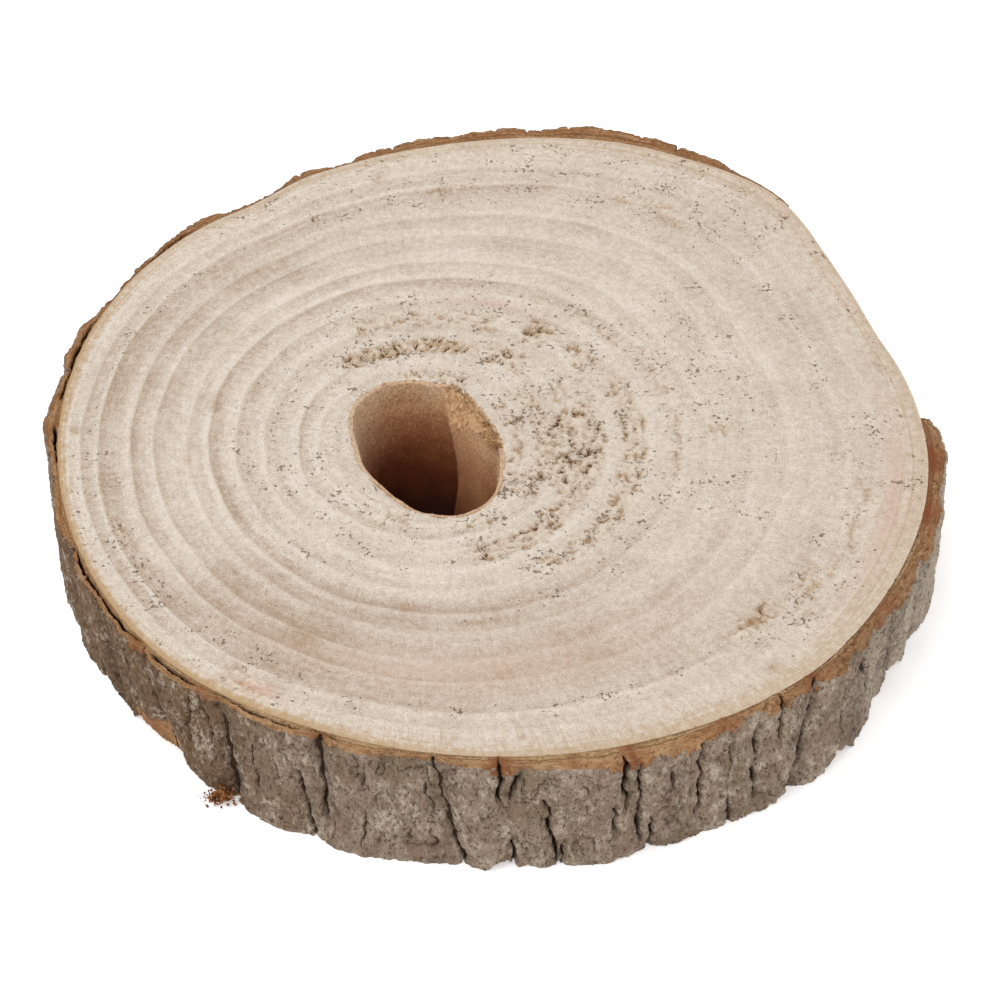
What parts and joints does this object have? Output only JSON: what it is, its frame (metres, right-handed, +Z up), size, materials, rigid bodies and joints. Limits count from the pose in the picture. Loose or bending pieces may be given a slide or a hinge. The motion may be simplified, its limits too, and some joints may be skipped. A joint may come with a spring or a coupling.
{
  "type": "wood slice",
  "caption": "Slice sawn across a young trunk: flat sawn faces with growth rings, a band of furrowed bark, one bare flattened side and a hollow pith right through.",
  "frame": {"origin": "middle of the base, on the surface the slice lies on", "axes": "+Z up from the base through the upper sawn face, -Y towards the near side, +X to the right, so that the bare flattened side faces +X +Y and the hollow lies towards -X -Y"},
  "size_m": [0.1198, 0.1254, 0.018],
  "materials": {
    "sawn_wood": "matte",
    "hollow_wall": "matte",
    "bark": "matte"
  },
  "bodies": {
    "root": {"wood_slice": "sawn_wood"}
  },
  "joints": []
}
